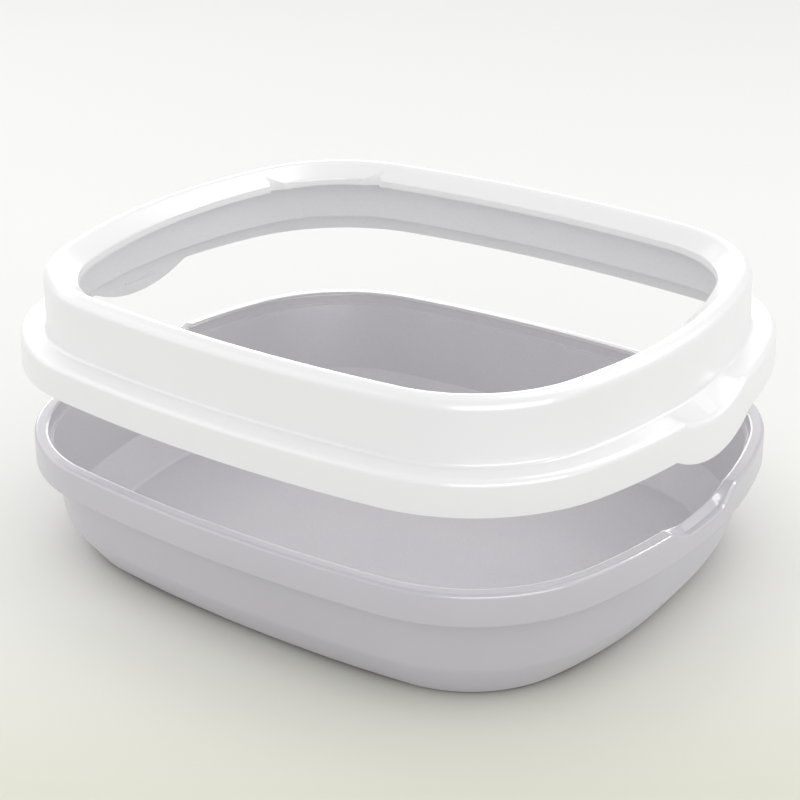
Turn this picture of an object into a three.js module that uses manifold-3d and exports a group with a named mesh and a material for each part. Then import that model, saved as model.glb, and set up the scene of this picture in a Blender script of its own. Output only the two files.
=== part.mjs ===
// Anti-splash litter box: a moulded pan and the splash rim that clips over its flange.
// Millimetres, +Z up. The origin is the middle of the pan's underside and +X runs along its length.
// The rim is shown lifted off, straight above the pan, as it is held while the litter is changed.
import * as THREE from 'three';
import Module from 'manifold-3d';
import { mergeVertices } from 'three/addons/utils/BufferGeometryUtils.js';

const degree = Math.PI / 180;

// Plan outline, taken over the lower edge of the rim's skirt: three tangent arcs in each quarter
const overallLength = 500;
const overallWidth = 419;
const sideRadius = 1060;
const endRadius = 385;
const cornerRadius = 124;

// How the two pieces meet
const seatClearance = 0.3;
const skirtClearance = 1;
const snapClearance = 0.3;
const sagClearance = 0.7;
const liftGap = 53.4;

// Splash rim: sheet, skirt and the ledge that rests on the pan's flange
const rimSheet = 2.2;
const skirtHeight = 23.5;
const skirtDraft = 0.8;
const shoulderRound = 4.3;
const footInset = 18.5;
const footRound = 2.5;
const dripDepth = 4.7;
const dripSheet = 2;

// Splash rim: upright wall, rounded crest and the band that turns splashes back
const wallRise = 34.3;
const wallDraft = 1.2;
const crestRound = 8;
const bandLength = 12.1;
const bandSlope = 38 * degree;
const lipRound = 2.8;
const lipDrop = 3.35;

// Splash rim: the tab that hangs at the middle of each short end, with its snap rib inside
const tabLength = 100;
const tabDrop = 13.2;
const tabFillet = 8;
const sagSetIn = 3;
const snapLength = 24;
const snapHeight = 2.6;
const snapTaper = 3;

// Splash rim: the scoop rest, a stretch of the band at one corner that is set back at its two ends
const restLength = 88;
const restFacet = 12;
const restEndWall = 3.4;
const restSetback = 3.6;
const restMiddleSetback = 0.4;
const restFold = 2.6;
const restBearing = 45.6 * degree;

// Pan: sheet, flange and the bead along its top
const panSheet = 2.8;
const panHeight = 92.7;
const flangeHeight = 21.6;
const flangeWidth = 10.1;
const flangeDraft = 0.3;
const beadRound = 2.6;
const stepDepth = 9.4;
const stepWidth = 2.2;

// Pan: the flange dips under each tab, so that fingers can lift the rim
const dipLength = 46;
const dipRamp = 21;
const dipDepth = 9.2;
const dipInnerDepth = 5.2;
const dipEdgeRound = 0.8;

// Pan: walls, the bevel round the floor and the underside
const basinDraft = 8.2;
const creaseHeight = 29.5;
const bevelSheet = 3.8;
const creaseRound = 12;
const bevelSlope = 54.6 * degree;
const floorSheet = 3;
const floorRound = 9.5;
const baseRound = 5;
const standWidth = 12;
const standRecess = 1;

// Facets
const tabSteps = 7;
const dipSteps = 3;
const endSteps = 3;
const cornerSteps = 9;
const sideSteps = 3;
const restSteps = 7;
const roundSteps = 3;
const crestSteps = 6;

// Places worked out from the sizes above
const ledgeUnderside = skirtHeight - rimSheet;
const seatedHeight = panHeight + seatClearance - ledgeUnderside;
const liftedHeight = panHeight + liftGap;
const flangeInset = rimSheet + skirtClearance;
const flangeFoot = panHeight - flangeHeight;
const tabSag = dipDepth - sagClearance;
const sagReach = dipLength / 2 + dipRamp - sagSetIn;
const outline = planOutline();

// The three arcs of one quarter of the outline, and the bearings where they run into each other.
// A bearing is the direction of the outline's normal, from +X towards +Y.
function planOutline() {
  const end = { centre: new THREE.Vector2(overallLength / 2 - endRadius, 0), radius: endRadius };
  const side = { centre: new THREE.Vector2(0, overallWidth / 2 - sideRadius), radius: sideRadius };
  const endReach = endRadius - cornerRadius;
  const sideReach = sideRadius - cornerRadius;
  const between = side.centre.clone().sub(end.centre);
  const span = between.length();
  const along = (endReach ** 2 - sideReach ** 2 + span ** 2) / (2 * span);
  const across = Math.sqrt(endReach ** 2 - along ** 2);
  const direction = between.normalize();
  const sideways = new THREE.Vector2(-direction.y, direction.x);
  const centre = end.centre.clone().addScaledVector(direction, along).addScaledVector(sideways, across);
  const corner = { centre, radius: cornerRadius };
  const fromEnd = centre.clone().sub(end.centre);
  const fromSide = centre.clone().sub(side.centre);
  return { end, corner, side, endBearing: fromEnd.angle(), sideBearing: fromSide.angle() };
}

// The plan point on the outline drawn in by an inset, at a bearing
function outlinePoint(bearing, inset) {
  const cosine = Math.cos(bearing);
  const sine = Math.sin(bearing);
  const folded = Math.atan2(Math.abs(sine), Math.abs(cosine));
  const onEnd = folded <= outline.endBearing;
  const onSide = folded >= outline.sideBearing;
  const arcHere = onEnd ? outline.end : onSide ? outline.side : outline.corner;
  const x = arcHere.centre.x + (arcHere.radius - inset) * Math.cos(folded);
  const y = arcHere.centre.y + (arcHere.radius - inset) * Math.sin(folded);
  return new THREE.Vector2(Math.sign(cosine) * x, Math.sign(sine) * y);
}

// The length along one quarter of the outline drawn in by an inset, from +X to a bearing
function lengthTo(bearing, inset) {
  const onEnd = Math.min(bearing, outline.endBearing);
  const onCorner = THREE.MathUtils.clamp(bearing, outline.endBearing, outline.sideBearing) - outline.endBearing;
  const onSide = Math.max(bearing - outline.sideBearing, 0);
  return (endRadius - inset) * onEnd + (cornerRadius - inset) * onCorner + (sideRadius - inset) * onSide;
}

// The bearing that lies at a length along one quarter of the outline drawn in by an inset
function bearingAt(length, inset) {
  const endLength = lengthTo(outline.endBearing, inset);
  const cornerEnd = lengthTo(outline.sideBearing, inset);
  if (length < endLength) {
    return length / (endRadius - inset);
  }
  if (length < cornerEnd) {
    return outline.endBearing + (length - endLength) / (cornerRadius - inset);
  }
  return outline.sideBearing + (length - cornerEnd) / (sideRadius - inset);
}

// Bearings on the short end that lie at a distance from its middle
function endBearingAt(distance) {
  return Math.asin(distance / endRadius);
}

// The distance of a bearing from the middle of the short end, measured across the box
function distanceFromEndMiddle(bearing) {
  return Math.abs(outlinePoint(bearing, 0).y);
}

function evenSteps(from, to, steps) {
  return Array.from({ length: steps + 1 }, (_, step) => from + (to - from) * step / steps);
}

// Bearings of one quarter: those of the short end's features, then the rest of each arc in even steps
function quarterBearings(features) {
  const last = Math.max(...features);
  const restOfEnd = evenSteps(last, outline.endBearing, endSteps);
  const roundCorner = evenSteps(outline.endBearing, outline.sideBearing, cornerSteps);
  const alongSide = evenSteps(outline.sideBearing, Math.PI / 2, sideSteps);
  return [...features, ...restOfEnd, ...roundCorner, ...alongSide];
}

// The same bearings in all four quarters, in order round the box
function allRound(quarter) {
  const full = 2 * Math.PI;
  const everywhere = quarter.flatMap((bearing) => [bearing, Math.PI - bearing, Math.PI + bearing, full - bearing]);
  return inOrder(everywhere.map((bearing) => bearing % full));
}

function inOrder(bearings) {
  const closest = 0.001 * degree;
  const sorted = [...bearings].sort((a, b) => a - b);
  return sorted.filter((bearing, i) => i === 0 || bearing - sorted[i - 1] > closest);
}

// Section drawing: points are [inset, height], and angle 0 points in, towards the middle of the box
function polar(centre, radius, angle) {
  return [centre[0] + radius * Math.cos(angle), centre[1] + radius * Math.sin(angle)];
}

function arc(centre, radius, from, to, steps) {
  return evenSteps(from, to, steps).map((angle) => polar(centre, radius, angle));
}

function between(from, to, share) {
  return [THREE.MathUtils.lerp(from[0], to[0], share), THREE.MathUtils.lerp(from[1], to[1], share)];
}

// The arc that rounds the corner between two straight stretches
function fillet(before, corner, after, radius, steps) {
  const tip = new THREE.Vector2(...corner);
  const back = new THREE.Vector2(...before).sub(tip).normalize();
  const on = new THREE.Vector2(...after).sub(tip).normalize();
  const halfAngle = Math.acos(THREE.MathUtils.clamp(back.dot(on), -1, 1)) / 2;
  const middle = back.clone().add(on).normalize();
  const centre = tip.clone().addScaledVector(middle, radius / Math.sin(halfAngle));
  const reach = radius / Math.tan(halfAngle);
  const start = tip.clone().addScaledVector(back, reach).sub(centre).angle();
  const end = tip.clone().addScaledVector(on, reach).sub(centre).angle();
  const turn = Math.atan2(Math.sin(end - start), Math.cos(end - start));
  return arc([centre.x, centre.y], radius, start, start + turn, steps);
}

// The corner of the line that runs beside two straight stretches, a sheet's thickness to their right
function besideCorner(before, corner, after, thickness) {
  const inward = Math.atan2(corner[1] - before[1], corner[0] - before[0]);
  const outward = Math.atan2(after[1] - corner[1], after[0] - corner[0]);
  const halfTurn = Math.atan2(Math.sin(outward - inward), Math.cos(outward - inward)) / 2;
  return polar(corner, thickness / Math.cos(halfTurn), inward + halfTurn - Math.PI / 2);
}

// The radius of the arc that spans a half chord and rises by its height at the middle
function arcRadius(halfChord, rise) {
  return (halfChord ** 2 + rise ** 2) / (2 * rise);
}

// How far the tab's lower edge hangs below the skirt's: a circular arc, filleted into the straight edge
const tabRadius = arcRadius(tabLength / 2, tabDrop);
const tabCentreHeight = tabRadius - tabDrop;
const tabReach = Math.sqrt((tabRadius + tabFillet) ** 2 - (tabCentreHeight + tabFillet) ** 2);
const tabTangent = tabReach * tabRadius / (tabRadius + tabFillet);

function tabDepth(bearing) {
  const distance = distanceFromEndMiddle(bearing);
  if (distance >= tabReach) {
    return 0;
  }
  if (distance > tabTangent) {
    return tabFillet - Math.sqrt(tabFillet ** 2 - (tabReach - distance) ** 2);
  }
  return Math.sqrt(tabRadius ** 2 - distance ** 2) - tabCentreHeight;
}

// How far the ledge's outer edge sags above the tab: a flatter arc that stays inside the flange's dip
function ledgeSag(bearing) {
  const distance = distanceFromEndMiddle(bearing);
  const radius = arcRadius(sagReach, tabSag);
  return distance < sagReach ? Math.sqrt(radius ** 2 - distance ** 2) - (radius - tabSag) : 0;
}

// Places on the band's section that both the rim and the scoop rest use
const crestCentre = [footInset + wallDraft + crestRound, skirtHeight + wallRise];
const bandNormal = Math.PI / 2 - bandSlope;
const bandStart = polar(crestCentre, crestRound, bandNormal);
const bandEnd = polar(bandStart, bandLength, -bandSlope);
const foldPoint = polar(bandStart, restFold, -bandSlope);
const lipCentre = polar(bandEnd, -lipRound, bandNormal);
const lipInset = lipCentre[0] + lipRound;

// The scoop rest lies at the corner between -X and +Y. Places along it are lengths along the lip
// from its middle: the recess, then at each end a facet and the slanted end wall of the whole band.
const restMiddle = lengthTo(restBearing, lipInset);
const restEnd = restLength / 2;
const restFacetEnd = restEnd - restEndWall;
const restRecessEnd = restEnd - restFacet;

function restBearingAt(fromMiddle) {
  return Math.PI - bearingAt(restMiddle + fromMiddle, lipInset);
}

function setbackAt(fromMiddle) {
  return THREE.MathUtils.lerp(restMiddleSetback, restSetback, (fromMiddle / restFacetEnd) ** 2);
}

function lipAt(bearing) {
  const quarter = Math.PI - bearing;
  const inQuarter = quarter > 0 && quarter < Math.PI / 2;
  const fromMiddle = inQuarter ? Math.abs(lengthTo(quarter, lipInset) - restMiddle) : restLength;
  if (fromMiddle > (restEnd + restFacetEnd) / 2) {
    return rolledLip(0);
  }
  return fromMiddle > (restFacetEnd + restRecessEnd) / 2 ? facetLip() : rolledLip(setbackAt(fromMiddle));
}

// Bearings round the rim: closer at the tabs, and the scoop rest's own in place of those it covers
function rimBearings() {
  const onTab = evenSteps(0, Math.asin(tabTangent / tabRadius), tabSteps);
  const tabDistances = onTab.map((angle) => tabRadius * Math.sin(angle));
  const filletDistances = evenSteps(tabTangent, tabReach, 2);
  const features = [...tabDistances, ...filletDistances].map(endBearingAt);
  const first = restBearingAt(restEnd);
  const last = restBearingAt(-restEnd);
  const others = allRound(quarterBearings(features)).filter((bearing) => bearing < first || bearing > last);
  const recess = evenSteps(-restRecessEnd, restRecessEnd, restSteps);
  const rest = [-restEnd, -restFacetEnd, ...recess, restFacetEnd, restEnd].map(restBearingAt);
  return inOrder([...others, ...rest]);
}

// Each end wall starts at the fold of the whole band, so at one of them the cells are split the other way
function lipLeads(bearing) {
  return Math.abs(bearing - restBearingAt(-restFacetEnd)) < 0.01 * degree;
}

// The rim's section, from the skirt's lower edge up the outside, over the crest and back down inside
function rimSection(bearing) {
  const lowerEdge = -tabDepth(bearing);
  const sag = ledgeSag(bearing);
  const skirtFoot = [0, lowerEdge];
  const shoulderCentre = [skirtDraft + shoulderRound, skirtHeight - shoulderRound - sag];
  const ledgeEnd = [footInset, skirtHeight];
  const ledgeStart = polar(shoulderCentre, shoulderRound, Math.PI / 2);
  const wallTop = polar(crestCentre, crestRound, Math.PI);
  const outside = [
    skirtFoot,
    ...arc(shoulderCentre, shoulderRound, Math.PI, Math.PI / 2, roundSteps),
    ...fillet(ledgeStart, ledgeEnd, wallTop, footRound, 2),
    ...arc(crestCentre, crestRound, Math.PI, bandNormal, crestSteps),
    foldPoint,
  ];
  const lip = lipAt(bearing);
  const dripFoot = skirtHeight - rimSheet - dripDepth;
  const dripInner = footInset + rimSheet;
  const inside = [
    ...arc(crestCentre, crestRound - rimSheet, bandNormal, Math.PI, crestSteps - 2),
    [dripInner, dripFoot],
    [dripInner - dripSheet, dripFoot],
    [dripInner - dripSheet, ledgeUnderside],
    ...arc(shoulderCentre, shoulderRound - rimSheet, Math.PI / 2, Math.PI, roundSteps - 1),
    [rimSheet, lowerEdge],
  ];
  return { points: [...outside, ...lip, ...inside], lipRow: outside.length + roundSteps + 1 };
}

// The corner at the fold on the band's hidden face, where the band goes on at another slope
function foldBack(slope) {
  return besideCorner(bandStart, foldPoint, polar(foldPoint, restFold, -slope), rimSheet);
}

// The lip's rolled edge; where it is set back, the band falls from the fold to the roll more steeply
function rolledLip(setback) {
  const centre = [lipCentre[0] - setback, lipCentre[1]];
  const reach = [centre[0] - foldPoint[0], foldPoint[1] - centre[1]];
  const slope = Math.atan2(reach[1], reach[0]) - Math.asin(lipRound / Math.hypot(...reach));
  const lowerEdge = centre[1] - lipDrop;
  const front = centre[0] + lipRound;
  const back = front - rimSheet;
  const bandBack = polar(foldPoint, -rimSheet, Math.PI / 2 - slope);
  const bandBackEnd = [back, bandBack[1] - (back - bandBack[0]) * Math.tan(slope)];
  const roll = arc(centre, lipRound, Math.PI / 2 - slope, 0, roundSteps);
  return [...roll, [front, lowerEdge], [back, lowerEdge], bandBackEnd, foldBack(slope)];
}

// The outer end of a facet: a crease runs down from the fold of the whole band to the roll of the
// recess, and below that crease the face is flat down to the lip's lower edge
function facetLip() {
  const recess = rolledLip(setbackAt(restRecessEnd));
  const crease = between(foldPoint, recess[0], restEndWall / restFacet);
  const foot = [lipInset - restSetback, lipCentre[1] - lipDrop];
  const steepness = Math.atan2(crease[1] - foot[1], foot[0] - crease[0]);
  const face = evenSteps(0, 1, roundSteps + 1).map((share) => between(crease, foot, share));
  const behind = ([inset, height]) => [inset - rimSheet / Math.sin(steepness), height];
  const bandSteepness = Math.atan2(foldPoint[1] - crease[1], crease[0] - foldPoint[0]);
  return [...face, behind(foot), behind(face[1]), foldBack(bandSteepness)];
}

// How much of the full dip the flange has at a bearing
function dipShare(bearing) {
  const intoRamp = distanceFromEndMiddle(bearing) - dipLength / 2;
  return THREE.MathUtils.clamp(1 - intoRamp / dipRamp, 0, 1);
}

function panBearings() {
  const flat = evenSteps(0, dipLength / 2, 2);
  const ramp = evenSteps(dipLength / 2, dipLength / 2 + dipRamp, dipSteps);
  return allRound(quarterBearings([...flat, ...ramp].map(endBearingAt)));
}

// The pan's section, from the underside's recess out and up, over the flange and down to the floor
function panSection(bearing) {
  const dip = dipShare(bearing);
  const beadOuter = flangeInset + flangeDraft;
  const beadInner = beadOuter + flangeWidth;
  const dropAt = (inset) => {
    const share = (inset - beadOuter) / flangeWidth;
    return dip * THREE.MathUtils.lerp(dipDepth, dipInnerDepth, share);
  };
  const lowered = ([inset, height]) => [inset, height - dropAt(inset)];
  const outerRound = THREE.MathUtils.lerp(beadRound, dipEdgeRound, dip);
  const outerCentre = [beadOuter + outerRound, panHeight - outerRound];
  const innerCentre = [beadInner - beadRound, panHeight - beadRound];
  const stepHeight = panHeight - stepDepth;
  const stepCrease = [beadInner + flangeDraft, stepHeight];
  const stepEdge = [stepCrease[0] + stepWidth, stepHeight];
  const crease = [stepEdge[0] + basinDraft, creaseHeight];
  const bevelFoot = [crease[0] + (creaseHeight - floorSheet) / Math.tan(bevelSlope), floorSheet];
  const middle = [overallWidth / 2, floorSheet];
  const outerCrease = besideCorner(bevelFoot, crease, stepEdge, -bevelSheet);
  const base = [outerCrease[0] + outerCrease[1] / Math.tan(bevelSlope), 0];
  const underStep = besideCorner(crease, stepEdge, stepCrease, -panSheet);
  const standInner = base[0] + baseRound + standWidth;
  return [
    [standInner + standRecess, standRecess],
    [standInner, 0],
    ...fillet([standInner, 0], base, outerCrease, baseRound, roundSteps),
    ...fillet(base, outerCrease, underStep, creaseRound, 2),
    underStep,
    [stepCrease[0] - panSheet, underStep[1]],
    lowered([beadInner - panSheet, panHeight - panSheet]),
    lowered([beadOuter + panSheet, panHeight - panSheet]),
    [flangeInset + panSheet, flangeFoot],
    [flangeInset, flangeFoot],
    ...arc(outerCentre, outerRound, Math.PI, Math.PI / 2, roundSteps).map(lowered),
    ...arc(innerCentre, beadRound, Math.PI / 2, 0, roundSteps).map(lowered),
    stepCrease,
    stepEdge,
    crease,
    ...fillet(crease, bevelFoot, middle, floorRound, roundSteps),
  ];
}

// Grid of points, one row of them at each bearing
function gridPositions(bearings, sections) {
  return sections.flatMap((points, i) => points.flatMap(([inset, height]) => {
    const place = outlinePoint(bearings[i], inset);
    return [place.x, place.y, height];
  }));
}

// Triangles of one cell of the grid, split along either of its diagonals
function cell(here, next, low, high, splitFromLow) {
  const corners = [here + low, next + low, next + high, here + high];
  const order = splitFromLow ? [0, 1, 2, 0, 2, 3] : [0, 1, 3, 1, 2, 3];
  return order.map((corner) => corners[corner]);
}

function bufferGeometry(positions, index) {
  const geometry = new THREE.BufferGeometry();
  geometry.setAttribute('position', new THREE.Float32BufferAttribute(positions, 3));
  geometry.setIndex(index);
  return geometry;
}

// A closed section carried all the way round the outline
function ringOfClosedSections(bearings, sections, splitFromLow) {
  const rows = sections[0].length;
  const index = [];
  for (let i = 0; i < bearings.length; i += 1) {
    const here = i * rows;
    const next = ((i + 1) % bearings.length) * rows;
    for (let row = 0; row < rows; row += 1) {
      index.push(...cell(here, next, row, (row + 1) % rows, splitFromLow(i, row)));
    }
  }
  return bufferGeometry(gridPositions(bearings, sections), index);
}

// An open section carried all the way round, closed by a flat underside and a flat floor
function dishOfOpenSections(bearings, sections) {
  const rows = sections[0].length;
  const positions = gridPositions(bearings, sections);
  const underMiddle = bearings.length * rows;
  const floorMiddle = underMiddle + 1;
  positions.push(0, 0, sections[0][0][1], 0, 0, sections[0][rows - 1][1]);
  const index = [];
  for (let i = 0; i < bearings.length; i += 1) {
    const here = i * rows;
    const next = ((i + 1) % bearings.length) * rows;
    for (let row = 0; row < rows - 1; row += 1) {
      index.push(...cell(here, next, row, row + 1, true));
    }
    index.push(underMiddle, next, here);
    index.push(floorMiddle, here + rows - 1, next + rows - 1);
  }
  return bufferGeometry(positions, index);
}

// A short bar along the outline, with its ends closed; each section has four points
function barOfClosedSections(bearings, sections) {
  const rows = sections[0].length;
  const last = (bearings.length - 1) * rows;
  const index = [0, 1, 2, 0, 2, 3, last, last + 2, last + 1, last, last + 3, last + 2];
  for (let i = 0; i < bearings.length - 1; i += 1) {
    for (let row = 0; row < rows; row += 1) {
      index.push(...cell(i * rows, (i + 1) * rows, row, (row + 1) % rows, true));
    }
  }
  return bufferGeometry(gridPositions(bearings, sections), index);
}

// The snap rib inside a tab: flat on top, where it catches under the flange, and slanted below
function snapRib(endBearing) {
  const half = snapLength / 2;
  const distances = [-half, snapTaper - half, half - snapTaper, half];
  const reach = skirtClearance - snapClearance;
  const top = flangeFoot - seatedHeight - seatClearance;
  const rooted = rimSheet / 2;
  const sections = distances.map((distance, i) => {
    const tip = rimSheet + (i === 0 || i === distances.length - 1 ? 0 : reach);
    return [[rooted, top - snapHeight], [rooted, top], [tip, top], [tip, top - snapHeight / 2]];
  });
  const bearings = distances.map((distance) => endBearing + endBearingAt(distance));
  return barOfClosedSections(bearings, sections);
}

const wasm = await Module();
wasm.setup();

function toSolid(geometry) {
  const merged = mergeVertices(geometry);
  const vertProperties = merged.getAttribute('position').array;
  const triVerts = new Uint32Array(merged.getIndex().array);
  return new wasm.Manifold(new wasm.Mesh({ numProp: 3, vertProperties, triVerts }));
}

function toGeometry(solid) {
  const mesh = solid.getMesh();
  return bufferGeometry([...mesh.vertProperties], [...mesh.triVerts]);
}

function splashRimGeometry() {
  const bearings = rimBearings();
  const cuts = bearings.map(rimSection);
  const lipRow = cuts[0].lipRow;
  const sections = cuts.map((cut) => cut.points);
  const ring = ringOfClosedSections(bearings, sections, (i, row) => row < lipRow !== lipLeads(bearings[i]));
  const ribs = [0, Math.PI].map((endBearing) => toSolid(snapRib(endBearing)));
  return toGeometry(ribs.reduce((rim, rib) => rim.add(rib), toSolid(ring)));
}

function panGeometry() {
  const bearings = panBearings();
  return dishOfOpenSections(bearings, bearings.map(panSection));
}

function piece(name, geometry, material) {
  geometry.computeVertexNormals();
  const mesh = new THREE.Mesh(geometry, new THREE.MeshStandardMaterial({ ...material, flatShading: true }));
  mesh.name = name;
  return mesh;
}

const pan = piece('litter_pan', panGeometry(), { color: 0xb3b4b6, roughness: 0.45, metalness: 0 });
const splashRim = piece('splash_rim', splashRimGeometry(), { color: 0xf5f5f3, roughness: 0.3, metalness: 0 });
splashRim.position.z = liftedHeight;

const litterBox = new THREE.Group();
litterBox.add(pan, splashRim);

export default litterBox;
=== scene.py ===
"""Looks of an anti-splash litter box: a satin grey pan and the glossy white splash rim held above it.

Metres, +Z up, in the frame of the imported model: the origin is the middle of the pan's underside.
"""

import logging
import math
from dataclasses import dataclass, field
from enum import Enum
from typing import Sequence

import bmesh
import bpy
from mathutils import Matrix, Vector


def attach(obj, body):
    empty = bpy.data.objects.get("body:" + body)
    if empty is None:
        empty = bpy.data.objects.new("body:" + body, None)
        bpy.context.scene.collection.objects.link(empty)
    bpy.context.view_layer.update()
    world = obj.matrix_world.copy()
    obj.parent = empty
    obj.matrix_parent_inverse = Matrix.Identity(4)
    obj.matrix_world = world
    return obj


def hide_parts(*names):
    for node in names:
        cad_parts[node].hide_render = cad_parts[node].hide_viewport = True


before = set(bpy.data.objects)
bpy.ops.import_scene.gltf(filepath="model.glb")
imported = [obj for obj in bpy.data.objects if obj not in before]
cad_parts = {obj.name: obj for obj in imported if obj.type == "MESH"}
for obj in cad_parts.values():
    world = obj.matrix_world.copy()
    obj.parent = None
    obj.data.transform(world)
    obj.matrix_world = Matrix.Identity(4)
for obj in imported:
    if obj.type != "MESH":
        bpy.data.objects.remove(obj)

LOG = logging.getLogger("litter_box")

MM = 0.001
DEGREE = math.pi / 180
QUARTER_TURN = math.pi / 2
# Points and bearings that are nearer to each other than this, in metres or radians, count as one.
MERGE_REACH = 1e-6

# A section's point is its inset from the outline and its height; these are the directions in a section.
Point = tuple[float, float]
INWARD, UPWARD, OUTWARD = 0.0, QUARTER_TURN, math.pi

Colour = tuple[float, float, float]


class Body(Enum):
    """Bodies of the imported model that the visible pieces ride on."""

    PAN = "pan"
    RIM = "rim"


class Slot(Enum):
    """Material slots of the record."""

    GREY = "grey_plastic"
    WHITE = "white_plastic"


def between(start: Point, end: Point, share: float) -> Point:
    """Returns the point that lies at a share of the way from start to end."""
    return (start[0] + (end[0] - start[0]) * share, start[1] + (end[1] - start[1]) * share)


def spread(start: float, end: float, steps: int) -> list[float]:
    """Returns steps + 1 values evenly spaced from start to end."""
    return [start + (end - start) * step / steps for step in range(steps + 1)]


def polar(centre: Point, radius: float, angle: float) -> Point:
    """Returns the point of a section at a radius and an angle from a centre."""
    return (centre[0] + radius * math.cos(angle), centre[1] + radius * math.sin(angle))


def arc(centre: Point, radius: float, start: float, end: float, steps: int) -> list[Point]:
    """Returns the points of an arc between two angles."""
    return [polar(centre, radius, angle) for angle in spread(start, end, steps)]


def fillet(before: Point, corner: Point, after: Point, radius: float, steps: int) -> list[Point]:
    """Rounds the corner between two straight stretches of a section.

    Args:
        before: a point on the stretch that leads to the corner.
        corner: the corner.
        after: a point on the stretch that leaves the corner.
        radius: the radius of the rounding.
        steps: how many chords the rounding has.

    Returns:
        The points of the rounding, in the order of travel.
    """
    tip = Vector(corner)
    back = (Vector(before) - tip).normalized()
    onward = (Vector(after) - tip).normalized()
    half_angle = math.acos(max(-1.0, min(1.0, back.dot(onward)))) / 2
    centre = tip + (back + onward).normalized() * (radius / math.sin(half_angle))
    reach = radius / math.tan(half_angle)
    start = tip + back * reach - centre
    end = tip + onward * reach - centre
    start_angle = math.atan2(start.y, start.x)
    turn = math.atan2(start.x * end.y - start.y * end.x, start.dot(end))
    return arc(tuple(centre), radius, start_angle, start_angle + turn, steps)


def rounded(corners: Sequence[Point], radii: Sequence[float], steps: int) -> list[Point]:
    """Rounds the inner corners of an open run of straight stretches.

    Args:
        corners: the corners of the run, its two ends included.
        radii: the radius at each corner but the two ends.
        steps: how many chords each rounding has.

    Returns:
        The points of the run without its two ends.
    """
    points: list[Point] = []
    for before, corner, after, radius in zip(corners, corners[1:], corners[2:], radii):
        points += fillet(before, corner, after, radius, steps)
    return points


def beside_corner(before: Point, corner: Point, after: Point, thickness: float) -> Point:
    """Returns the corner of the line that runs a sheet's thickness to the right of two stretches."""
    inward = math.atan2(corner[1] - before[1], corner[0] - before[0])
    outward = math.atan2(after[1] - corner[1], after[0] - corner[0])
    half_turn = math.atan2(math.sin(outward - inward), math.cos(outward - inward)) / 2
    return polar(corner, thickness / math.cos(half_turn), inward + half_turn - QUARTER_TURN)


def arc_radius(half_chord: float, rise: float) -> float:
    """Returns the radius of the arc over a half chord that rises by its height at the middle."""
    return (half_chord**2 + rise**2) / (2 * rise)


@dataclass(frozen=True)
class PlanArc:
    """One arc of the outline: its centre, its radius and the bearings between which it runs."""

    centre: Vector
    radius: float
    start: float
    end: float


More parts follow.
